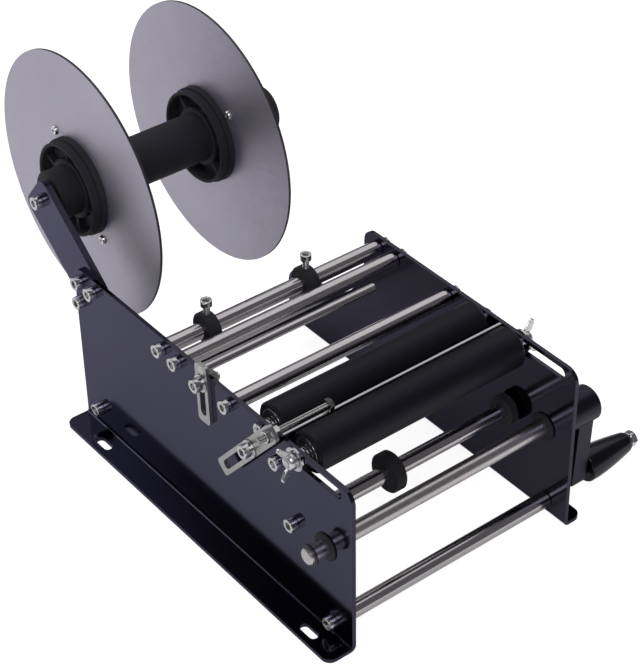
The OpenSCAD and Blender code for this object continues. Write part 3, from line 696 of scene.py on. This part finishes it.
@dataclass
class SidePlates:
    """The two coated side plates, the cross bars between them and the screws that hold them."""

    plate_t: float = PLATE_T
    screw_d: float = 6.0 * MM
    screw_pitch: float = 1.0 * MM
    frame_turn: float = 0.4
    arm_turns: tuple[float, ...] = (0.5, 1.2, 1.9)
    spindle_turn: float = 0.3
    bars: tuple[str, ...] = (
        "rear_top_bar", "second_bar", "third_bar", "rear_bottom_bar", "front_bottom_bar", "liner_bar",
    )
    peel_block: float = 12.0 * MM

    def outer_face(self, side: Side) -> float:
        """Return the X of a plate's outer face."""
        low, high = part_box("second_bar")
        return low[0] - self.plate_t if side is Side.LEFT else high[0] + self.plate_t

    def build(self) -> None:
        """Dress the plates and bars, and make the screws."""
        BLACK_COAT.dress("left_side_plate", "right_side_plate", "reel_arm")
        BAR_STEEL.dress(*self.bars)
        BRIGHT_STEEL.dress("peel_plate")
        self._frame_screws()
        self._arm_screws()

    def _frame_screws(self) -> None:
        """Make the cap screws at both ends of every bar and of the peel plate."""
        mesh = PieceMesh()
        low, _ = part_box("peel_plate")
        spots = [centre(bar) for bar in self.bars]
        spots.append(Vector((0.0, centre("peel_plate").y, low[2] + self.peel_block / 2)))
        for number, spot in enumerate(spots):
            for side in Side:
                point = Vector((self.outer_face(side), spot.y, spot.z))
                mesh.cap_head(Seat.along_x(point, side.value, self.frame_turn * number), self.screw_d)
        mesh.piece("frame_screw_heads", ZINC, "frame", ("frame_screws",))

    def _arm_screws(self) -> None:
        """Make the reel arm's cap screws, which sit in the corners of their box."""
        low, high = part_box("reel_arm_screws")
        rim = self.screw_d * CAP_SHARE
        near, far = low[1] + rim, high[1] - rim
        bottom, top = low[2] + rim, high[2] - rim
        mesh = PieceMesh()
        for turn, (y, z) in zip(self.arm_turns, ((far, top), (near, top), (far, bottom))):
            point = Vector((self.outer_face(Side.LEFT), y, z))
            mesh.cap_head(Seat.along_x(point, -1.0, turn), self.screw_d)
            tail = Vector((high[0], y, z))
            mesh.thread(Seat.along_x(tail, -1.0), self.plate_t, self.screw_d, self.screw_pitch)
        mesh.piece("arm_screw_heads", ZINC, "frame", ("reel_arm_screws",))
        spindle = PieceMesh()
        low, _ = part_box("reel_spindle_screw")
        point = on_axis("reel_spindle_screw", low[0] + self.screw_d)
        spindle.cap_head(Seat.along_x(point, -1.0, self.spindle_turn), self.screw_d)
        spindle.piece("spindle_screw_head", ZINC, "frame", ("reel_spindle_screw",))


@dataclass
class Reel:
    """The label reel: spindle, tube, bushes and two discs on hubs."""

    head_r: float = 3.6 * MM
    head_h: float = 2.2 * MM
    head_turn: float = 0.4
    recess_af: float = 2.48 * MM
    recess_depth: float = 1.3 * MM
    recess_point: float = 0.3 * MM
    dome: tuple[tuple[float, float], ...] = ((1.0, 0.55), (0.86, 0.8), (0.5, 0.96), (0.0, 1.0))

    def build(self) -> None:
        """Dress the reel and make the disc screws."""
        BRIGHT_STEEL.dress("reel_spindle")
        BLACK_PLASTIC.dress("reel_tube", "reel_bushes", "inner_hub", "outer_hub")
        DISC_SHEET.dress("inner_disc", "outer_disc")
        for flange, rising in (("inner", True), ("outer", False)):
            self._disc_screws(flange, rising)

    def _disc_screws(self, flange: str, rising: bool) -> None:
        """Make one disc's pan-head screws at opposite corners of their box.

        Args:
            flange: inner or outer.
            rising: the screws lie on the diagonal that rises towards the rear.
        """
        low, high = (Vector(corner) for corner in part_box(f"{flange}_disc_screws"))
        near, far = low.y + self.head_r, high.y - self.head_r
        bottom, top = low.z + self.head_r, high.z - self.head_r
        spots = ((near, bottom), (far, top)) if rising else ((near, top), (far, bottom))
        recess = hexagon(self.recess_af)
        floor = self.head_h - self.recess_depth
        stations: list[Station] = [(floor - self.recess_point, 0.0), (floor, recess), (self.head_h, recess)]
        stations += [(self.head_h * up, self.head_r * out) for up, out in self.dome]
        stations.append((0.0, 0.0))
        mesh = PieceMesh()
        for y, z in spots:
            seat = Seat.along_x(Vector((low.x + self.head_h, y, z)), -1.0, self.head_turn)
            mesh.rings(seat, stations, FINE)
        mesh.piece(f"{flange}_disc_screw_heads", CAST_ZINC, f"{flange}_flange", (f"{flange}_disc_screws",))


@dataclass
class RollerCradle:
    """The two rubber rollers, their axles, nuts and wing nuts."""

    axle_d: float = 8.0 * MM
    bearing_d: float = 22.0 * MM
    bearing_t: float = 7.0 * MM
    inner_ring: float = 1.7 * MM
    outer_ring: float = 1.2 * MM
    ring_edge: float = 0.25 * MM
    seal_depth: float = 0.4 * MM
    seal_lap: float = 0.1 * MM
    thread_pitch: float = 1.0 * MM
    nut_af: float = 10.0 * MM
    nut_h: float = 3.2 * MM
    nut_turn: float = math.radians(8)
    stub_d: float = 6.0 * MM
    wing_reach: float = 12.6 * MM
    wing_h: float = 11.4 * MM
    wing_t: float = 2.6 * MM
    wing_tilt: float = math.radians(12)
    wing_curl: float = 1.9 * MM
    hub_share: float = 0.55
    hub_dome: tuple[tuple[float, float], ...] = ((0.66, 0.93), (0.84, 0.83), (0.95, 0.70), (1.0, 0.56))
    hub_edge: float = 0.4 * MM
    hub_draft: float = 0.05 * MM
    cast_edge: float = 0.5 * MM
    cast_segments: int = 3
    cast_angle: float = math.radians(50)

    def build(self) -> None:
        """Dress the rollers and make the nuts, wing nuts and threaded axle."""
        ROLLER_RUBBER.dress("front_roller_sleeve", "rear_roller_sleeve")
        BLACK_PLASTIC.dress("front_roller_core", "rear_roller_core")
        BRIGHT_STEEL.dress("rear_roller_axle")
        ZINC.dress("front_roller_washers", "front_roller_spacers", "rear_roller_spacers")
        self._bearings("front_roller")
        self._bearings("rear_roller")
        self._rear_nuts()
        self._front_axle()
        self._wing_nut("wing_nut_left", "wing_left", Side.LEFT)
        self._wing_nut("wing_nut_right", "wing_right", Side.RIGHT)

    def _bearings(self, roller: str) -> None:
        """Make a roller's two sealed bearings: steel rings with a dark seal between them.

        Args:
            roller: the roller's body, which is also the start of its nodes' names.
        """
        node = f"{roller}_bearings"
        low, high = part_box(node)
        inner, outer = self.axle_d / 2 + BORE_PLAY, self.bearing_d / 2
        soft, near, far = self.ring_edge, self.seal_depth, self.seal_depth * 3
        bands = ((inner, inner + self.inner_ring), (outer - self.outer_ring, outer))
        rings, seals = PieceMesh(), PieceMesh()
        for x, way in ((low[0], 1.0), (high[0], -1.0)):
            seat = Seat.along_x(on_axis(node, x), way)
            for bore, rim in bands:
                rings.rings(seat, [(soft, bore), (0.0, bore + soft), (0.0, rim - soft), (soft, rim),
                                   (self.bearing_t, rim), (self.bearing_t, bore)], FINE, closed=True)
            bore, rim = bands[0][1] - self.seal_lap, bands[1][0] + self.seal_lap
            seals.rings(seat, [(near, bore), (near, rim), (far, rim), (far, bore)], FINE, closed=True)
        rings.piece(f"{roller}_bearing_rings", BRIGHT_STEEL, roller, (node,))
        seals.piece(f"{roller}_bearing_seals", BLACK_PLASTIC, roller)

    def _rear_nuts(self) -> None:
        """Make the two nuts on the rear roller's axle."""
        low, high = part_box("rear_roller_nuts")
        mesh = PieceMesh()
        for x, way in ((low[0] + self.nut_h, -1.0), (high[0] - self.nut_h, 1.0)):
            seat = Seat.along_x(on_axis("rear_roller_nuts", x), way, self.nut_turn)
            mesh.nut(seat, self.nut_h, self.nut_af, self.stub_d / 2)
        mesh.piece("rear_axle_nuts", ZINC, "frame", ("rear_roller_nuts",))

    def _front_axle(self) -> None:
        """Make the front axle: a plain middle and a thinner thread at each end."""
        low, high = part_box("front_roller_axle")
        washers_low, washers_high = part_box("front_roller_washers")
        r = self.axle_d / 2
        mesh = PieceMesh()
        start, end = washers_low[0], washers_high[0]
        seat = Seat.along_x(on_axis("front_roller_axle", start))
        mesh.rings(seat, [(0.0, 0.0), (0.0, r), (end - start, r), (end - start, 0.0)], COARSE)
        for x, tip, way in ((start, low[0], -1.0), (end, high[0], 1.0)):
            seat = Seat.along_x(on_axis("front_roller_axle", x), way)
            mesh.thread(seat, abs(tip - x), self.stub_d, self.thread_pitch)
        mesh.piece("front_axle", ZINC, "carriage", ("front_roller_axle",))

    def _wing_nut(self, node: str, body: str, side: Side) -> None:
        """Make one wing nut from a turned hub and two bent wings.

        Args:
            node: the CAD node it stands for.
            body: the body it rides on.
            side: the plate it sits on.
        """
        low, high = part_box(node)
        base = high[0] if side is Side.LEFT else low[0]
        seat = Seat.along_x(on_axis(node, base), side.value)
        bore, edge, curl = self.stub_d / 2, self.hub_edge, self.wing_curl
        foot, tip, h = self.stub_d, self.wing_reach, self.wing_h
        hub_h = h * self.hub_share
        dome = [(hub_h * up, foot * out) for up, out in self.hub_dome]
        mesh = PieceMesh()
        mesh.rings(seat, [
            (edge, bore), (0.0, bore + edge), (0.0, foot - edge), (edge, foot),
            (hub_h * 0.4, foot - self.hub_draft), *dome, (hub_h - edge, bore)], MEDIUM, closed=True)
        turns = [math.radians(angle) for angle in range(150, -46, -15)]
        end = [(h - curl + curl * math.cos(turn), tip - curl + curl * math.sin(turn)) for turn in turns]
        root = bore + 0.8 * MM
        outline = [(0.9 * MM, root), (1.2 * MM, bore + 2.6 * MM), (h * 0.28, bore + 4.4 * MM),
                   (h * 0.5, tip - 2.6 * MM), *end, (h * 0.74, bore + 2.4 * MM), (h * 0.52, root)]
        for half in (0.0, math.pi):
            mesh.slab(seat, outline, self.wing_t, half - side.value * self.wing_tilt)
        wing = mesh.piece(node + "_cast", CAST_ZINC, body, (node,), sharp=60.0)
        soften = wing.modifiers.new("cast_edges", "BEVEL")
        soften.width = self.cast_edge
        soften.segments = self.cast_segments
        soften.limit_method = "ANGLE"
        soften.angle_limit = self.cast_angle


@dataclass
class WinderCrank:
    """The winder shaft, its bushes, and the crank with its turning grip."""

    grip_d: float = 25.0 * MM
    tip_d: float = 14.0 * MM
    tip_bead: float = 0.7 * MM
    straight: float = 0.12
    taper: float = 1.5
    grip_steps: int = 40
    spindle_d: float = 6.0 * MM
    nut_af: float = 10.9 * MM
    nut_cap: float = 1.3 * MM
    nut_crown: float = 0.98
    nut_slope: float = 0.6
    nut_turn: float = math.radians(10)

    def build(self) -> None:
        """Dress the winder and make the grip and its nut."""
        SATIN_STEEL.dress("winder_shaft")
        BLACK_PLASTIC.dress("winder_bushes")
        CRANK_COAT.dress("crank_arm")
        BLACK_OXIDE.dress("winder_snap_ring", "crank_set_screw")
        ZINC.dress("handle_spindle")
        self._grip()
        self._nut()

    def _grip(self) -> None:
        """Make the grip as a smooth barrel that narrows to its tip."""
        low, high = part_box("handle_grip")
        length = high[0] - low[0]
        base = self.grip_d / 2
        tip = self.tip_d / 2
        bore = self.spindle_d / 2 + BORE_PLAY
        stations: list[Station] = [(0.0, bore), (0.0, base - 1.0 * MM), (0.5 * MM, base - 0.3 * MM)]
        for i in range(self.grip_steps + 1):
            t = i / self.grip_steps
            narrowing = max(0.0, (t - self.straight) / (1 - self.straight)) ** self.taper
            swell = base + (tip + self.tip_bead - base) * narrowing
            stations.append((1.0 * MM + (length - 4.0 * MM) * t, swell))
        stations += [(length - 1.6 * MM, tip), (length - 0.6 * MM, tip - 0.6 * MM),
                     (length, tip - 1.6 * MM), (length, bore)]
        mesh = PieceMesh()
        mesh.rings(Seat.along_x(on_axis("handle_grip", low[0])), stations, FINE, closed=True)
        mesh.piece("crank_grip", GRIP_GLOSS, "handle", ("handle_grip",))

    def _nut(self) -> None:
        """Make the domed nut on the end of the grip's spindle."""
        low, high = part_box("handle_nut")
        height = high[0] - low[0]
        side = hexagon(self.nut_af)
        crown = self.nut_af / 2 * self.nut_crown
        seat = Seat.along_x(on_axis("handle_nut", low[0]), 1.0, self.nut_turn)
        waist = height - self.nut_cap

        def lead(angle: float) -> float:
            """Place of the crown's chamfer at an angle."""
            return waist - max(side(angle) - crown, 0.0) * self.nut_slope

        mesh = PieceMesh()
        mesh.rings(seat, [
            (0.0, self.spindle_d / 2), (0.0, crown), (0.35 * MM, lambda a: min(side(a), crown * 1.08)),
            (0.7 * MM, side), (lead, side), (waist, lambda a: min(side(a), crown)),
            (waist + 0.1 * MM, crown * 0.9), (height - 0.7 * MM, crown * 0.82),
            (height - 0.15 * MM, crown * 0.62), (height, crown * 0.35), (height, 0.0)], FINE)
        mesh.piece("crank_nut", CHROME, "crank", ("handle_nut",))


@dataclass
class Collars:
    """The guide and liner collars with their upright screws."""

    screw_d: float = 5.0 * MM
    pitch: float = 0.8 * MM
    head_turn: float = 0.5

    def build(self) -> None:
        """Dress the collars and make the guide screws."""
        for side in ("left", "right"):
            BLACK_PLASTIC.dress(f"guide_collar_{side}", f"liner_collar_{side}")
            self._screw(side)

    def _screw(self, side: str) -> None:
        """Make one guide collar's upright cap screw with its thread.

        Args:
            side: left or right.
        """
        node = f"guide_screw_{side}"
        low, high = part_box(node)
        middle = centre(node)
        up = Vector((0.0, 0.0, 1.0))
        across = Vector((math.cos(self.head_turn), math.sin(self.head_turn), 0.0))
        under_head = high[2] - self.screw_d
        shank = under_head - low[2]
        mesh = PieceMesh()
        mesh.cap_head(Seat(Vector((middle.x, middle.y, under_head)), up, across), self.screw_d)
        mesh.thread(Seat(Vector((middle.x, middle.y, low[2])), up, across), shank, self.screw_d, self.pitch)
        mesh.piece(f"guide_screw_{side}_cap", ZINC, f"guide_{side}", (node,))


@dataclass
class Brackets:
    """The label tension rod and the bottle stop, on slotted brackets outside the left plate."""

    screw_d: float = 6.0 * MM
    pitch: float = 1.0 * MM
    nut_af: float = 10.0 * MM
    nut_h: float = 5.0 * MM
    washer_t: float = 1.2 * MM
    washer_r: float = 6.6 * MM
    spacer_r: float = 5.0 * MM
    spacer_l: float = 4.8 * MM
    bolt_d: float = 5.0 * MM
    bolt_pitch: float = 0.8 * MM
    bolt_af: float = 8.0 * MM
    bolt_head: float = 3.5 * MM
    bolt_crown: float = 0.97
    bolt_slope: float = 0.58
    locknut_h: float = 4.0 * MM
    locknut_turns: tuple[float, float] = (0.25, 0.7)
    tension_turn: float = 0.2
    stop_turn: float = 0.9
    bolt_turn: float = math.radians(12)
    spacer_gap: float = 0.1 * MM
    ring_edge: float = 0.2 * MM

    def build(self) -> None:
        """Dress the brackets and make the clamps, the locknuts and the stop bolt."""
        BRACKET_ZINC.dress("tension_bracket", "stop_bracket")
        BAR_STEEL.dress("tension_rod")
        self._clamp("tension", self.tension_turn)
        self._clamp("stop", self.stop_turn)
        self._stop_bolt()
        self._stop_nuts()

    def _clamp(self, name: str, turn: float) -> None:
        """Make one clamp: cap screw, wide washer, inside nut and, on the stop, a spacer.

        Args:
            name: tension or stop.
            turn: how far the head and the nut are turned.
        """
        node = f"{name}_clamp_screw"
        low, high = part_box(node)
        screw = PieceMesh()
        under_head = low[0] + self.screw_d
        screw.cap_head(Seat.along_x(on_axis(node, under_head), -1.0, turn), self.screw_d)
        screw.thread(Seat.along_x(on_axis(node, under_head)), high[0] - under_head, self.screw_d, self.pitch)
        screw.piece(f"{name}_clamp_screw_cap", ZINC, f"{name}_clamp", (node,))
        nut_node = f"{name}_clamp_nut"
        low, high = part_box(nut_node)
        bore = self.screw_d / 2 + BORE_PLAY
        nut = PieceMesh()
        seat = Seat.along_x(on_axis(nut_node, high[0] - self.nut_h), 1.0, turn)
        nut.nut(seat, self.nut_h, self.nut_af, bore)
        self._ring(nut, on_axis(nut_node, low[0]), self.washer_t, self.washer_r, bore)
        if name == "stop":
            start = on_axis(nut_node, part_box("stop_bracket")[1][0] + self.spacer_gap)
            self._ring(nut, start, self.spacer_l, self.spacer_r, bore)
        nut.piece(f"{name}_clamp_nut_and_washer", ZINC, f"{name}_clamp", (nut_node,))

    def _ring(self, mesh: PieceMesh, start: Vector, length: float, outer: float, bore: float) -> None:
        """Add a plain ring with broken edges along X.

        Args:
            mesh: the mesh it goes into.
            start: the middle of its first face.
            length: its length.
            outer: its outer radius.
            bore: the radius of its hole.
        """
        soft = self.ring_edge
        mesh.rings(Seat.along_x(start), [
            (0.0, bore), (0.0, outer - soft), (soft, outer), (length - soft, outer), (length, outer - soft),
            (length, bore)], MEDIUM, closed=True)

    def _stop_bolt(self) -> None:
        """Make the long stop bolt: a threaded shank and a chamfered hexagon head."""
        low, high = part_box("stop_bolt")
        under_head = high[0] - self.bolt_head
        mesh = PieceMesh()
        tail = Seat.along_x(on_axis("stop_bolt", low[0]))
        mesh.thread(tail, under_head - low[0], self.bolt_d, self.bolt_pitch)
        side = hexagon(self.bolt_af)
        crown = self.bolt_af / 2 * self.bolt_crown

        def lead(angle: float) -> float:
            """Place of the head's chamfer at an angle."""
            return self.bolt_head - max(side(angle) - crown, 0.0) * self.bolt_slope

        head = Seat.along_x(on_axis("stop_bolt", under_head), 1.0, self.bolt_turn)
        mesh.rings(head, [
            (0.0, 0.0), (0.0, side), (lead, side), (self.bolt_head, lambda a: min(side(a), crown)),
            (self.bolt_head, 0.0)], FINE)
        mesh.piece("stop_bolt_threaded", BOLT_STEEL, "stop_rod", ("stop_bolt",))

    def _stop_nuts(self) -> None:
        """Make the two locknuts that hold the stop bolt in its bracket."""
        low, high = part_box("stop_nuts")
        bore = self.bolt_d / 2 + BORE_PLAY
        mesh = PieceMesh()
        for x, turn in zip((low[0], high[0] - self.locknut_h), self.locknut_turns):
            mesh.nut(Seat.along_x(on_axis("stop_nuts", x), 1.0, turn), self.locknut_h, self.bolt_af, bore)
        mesh.piece("stop_locknuts", ZINC, "stop_arm", ("stop_nuts",))


@dataclass(frozen=True)
class Lamp:
    """A square soft lamp: its place, the point it faces, its side in metres and its power in watts."""

    name: str
    at: tuple[float, float, float]
    aim: tuple[float, float, float]
    size: float
    power: float

    def hang(self) -> None:
        """Hang the lamp in the scene."""
        data = bpy.data.lights.new(self.name, "AREA")
        data.size = self.size
        data.energy = self.power
        made = bpy.data.objects.new(self.name, data)
        made.location = self.at
        made.rotation_euler = (Vector(self.aim) - Vector(self.at)).to_track_quat("-Z", "Y").to_euler()
        bpy.context.scene.collection.objects.link(made)


@dataclass
class Studio:
    """The pale floor, the soft lamps and the camera of the picture."""

    lens: float = 108.35
    sensor: float = 36.0
    plate_t: float = PLATE_T
    camera_from: Vector = Vector((-0.58134, -0.72407, 0.97354))
    right: Vector = Vector((0.78594411, -0.61817177, -0.01247078))
    look: Vector = Vector((0.48469258, 0.6285105, -0.60831542))
    floor_size: float = 12.0
    floor_seen: float = 0.85
    floor_mirrored: float = 0.40
    floor_tone: float = 0.80
    floor_roughness: float = 0.9
    shade_reach: float = 0.3
    shade_samples: int = 4
    world_tone: Colour = (0.965, 0.945, 1.0)
    world_light: float = 0.12
    lamps: tuple[Lamp, ...] = (
        Lamp("key_lamp", (-1.1, -1.3, 1.9), (0.0, 0.0, 0.1), 1.3, 12.5),
        Lamp("rear_lamp", (-0.5, 1.9, 1.6), (0.0, 0.1, 0.1), 1.4, 11.0),
        Lamp("top_lamp", (1.0, 0.5, 1.9), (0.0, 0.0, 0.1), 2.2, 9.7),
    )

    def build(self) -> None:
        """Set the camera, the floor, the world and the lamps."""
        bpy.context.scene.view_settings.view_transform = "Standard"
        self._camera()
        self._floor()
        self._world()
        for lamp in self.lamps:
            lamp.hang()

    def _camera(self) -> None:
        """Create the camera, placed from the front lower corner of the left plate."""
        data = bpy.data.cameras.new("camera")
        data.lens = self.lens
        data.sensor_width = self.sensor
        data.clip_start = 0.01
        made = bpy.data.objects.new("camera", data)
        up = self.right.cross(self.look)
        axes = Matrix((self.right, up, -self.look)).transposed()
        corner = Vector((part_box("second_bar")[0][0] - self.plate_t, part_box("left_side_plate")[0][1], 0.0))
        made.matrix_world = Matrix.Translation(corner + self.camera_from) @ axes.to_4x4()
        bpy.context.scene.collection.objects.link(made)
        bpy.context.scene.camera = made

    def _floor(self) -> None:
        """Lay the floor as one large square."""
        half = self.floor_size / 2
        mesh = bpy.data.meshes.new("floor")
        corners = [(-half, -half, 0.0), (half, -half, 0.0), (half, half, 0.0), (-half, half, 0.0)]
        mesh.from_pydata(corners, [], [(0, 1, 2, 3)])
        mesh.materials.append(self._floor_material())
        floor = bpy.data.objects.new("floor", mesh)
        bpy.context.scene.collection.objects.link(floor)

    def _floor_material(self) -> bpy.types.Material:
        """Make a floor that is white to the camera and, in reflections, shaded under the machine."""
        made = bpy.data.materials.new("floor_white")
        made.use_nodes = True
        tree = made.node_tree
        shader = tree.nodes["Principled BSDF"]
        shader.inputs["Base Color"].default_value = (self.floor_tone, self.floor_tone, self.floor_tone, 1.0)
        shader.inputs["Roughness"].default_value = self.floor_roughness
        shader.inputs["Specular IOR Level"].default_value = 0.0
        shader.inputs["Emission Color"].default_value = (1.0, 1.0, 1.0, 1.0)
        path = tree.nodes.new("ShaderNodeLightPath")
        shade = tree.nodes.new("ShaderNodeAmbientOcclusion")
        shade.samples = self.shade_samples
        shade.inputs["Distance"].default_value = self.shade_reach
        mirrored = maths(tree, "ADD")
        shaded = maths(tree, "MULTIPLY")
        seen = maths(tree, "MULTIPLY")
        seen.inputs[1].default_value = self.floor_seen
        glow = maths(tree, "MULTIPLY_ADD")
        glow.inputs[1].default_value = self.floor_mirrored
        wire(tree, (path, "Is Glossy Ray", mirrored, 0), (path, "Is Transmission Ray", mirrored, 1),
             (path, "Is Camera Ray", seen, 0), (mirrored, "Value", shaded, 0), (shade, "AO", shaded, 1),
             (shaded, "Value", glow, 0), (seen, "Value", glow, 2),
             (glow, "Value", shader, "Emission Strength"))
        return made

    def _world(self) -> None:
        """Fill the room with an even, low light."""
        world = bpy.data.worlds.new("studio")
        world.use_nodes = True
        back = world.node_tree.nodes["Background"]
        back.inputs["Color"].default_value = (*self.world_tone, 1.0)
        back.inputs["Strength"].default_value = self.world_light
        bpy.context.scene.world = world


def main() -> None:
    """Build every sub-assembly in order, then the studio."""
    logging.basicConfig(level=logging.INFO, format="%(name)s: %(message)s")
    parts = (SidePlates(), Reel(), RollerCradle(), WinderCrank(), Collars(), Brackets(), Studio())
    for part in parts:
        part.build()
        LOG.info("built %s", type(part).__name__)


if __name__ == "__main__":
    main()
